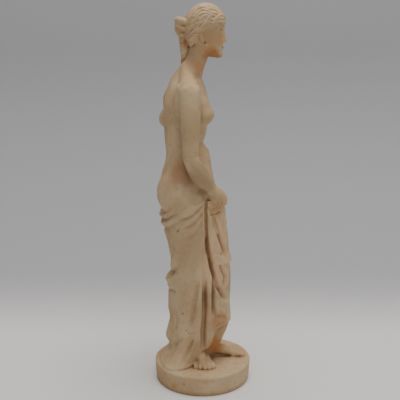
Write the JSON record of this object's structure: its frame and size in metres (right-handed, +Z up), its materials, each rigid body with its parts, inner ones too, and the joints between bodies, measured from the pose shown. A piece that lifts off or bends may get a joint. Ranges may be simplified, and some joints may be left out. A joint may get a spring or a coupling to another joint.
{
  "type": "aphrodite statue",
  "caption": "Cast plaster statuette of a half-draped standing Aphrodite, hair in a knot, cloth held at the hip by one hand, on a round plinth.",
  "frame": {"origin": "centre of the plinth's underside", "axes": "+Z up, +X the way the figure faces, +Y to the figure's left"},
  "size_m": [0.0782, 0.0935, 0.3002],
  "materials": {
    "old_plaster": "matte cast plaster, toned cream and tan with small casting pits"
  },
  "bodies": {
    "root": {"statue": "old_plaster"}
  },
  "joints": []
}
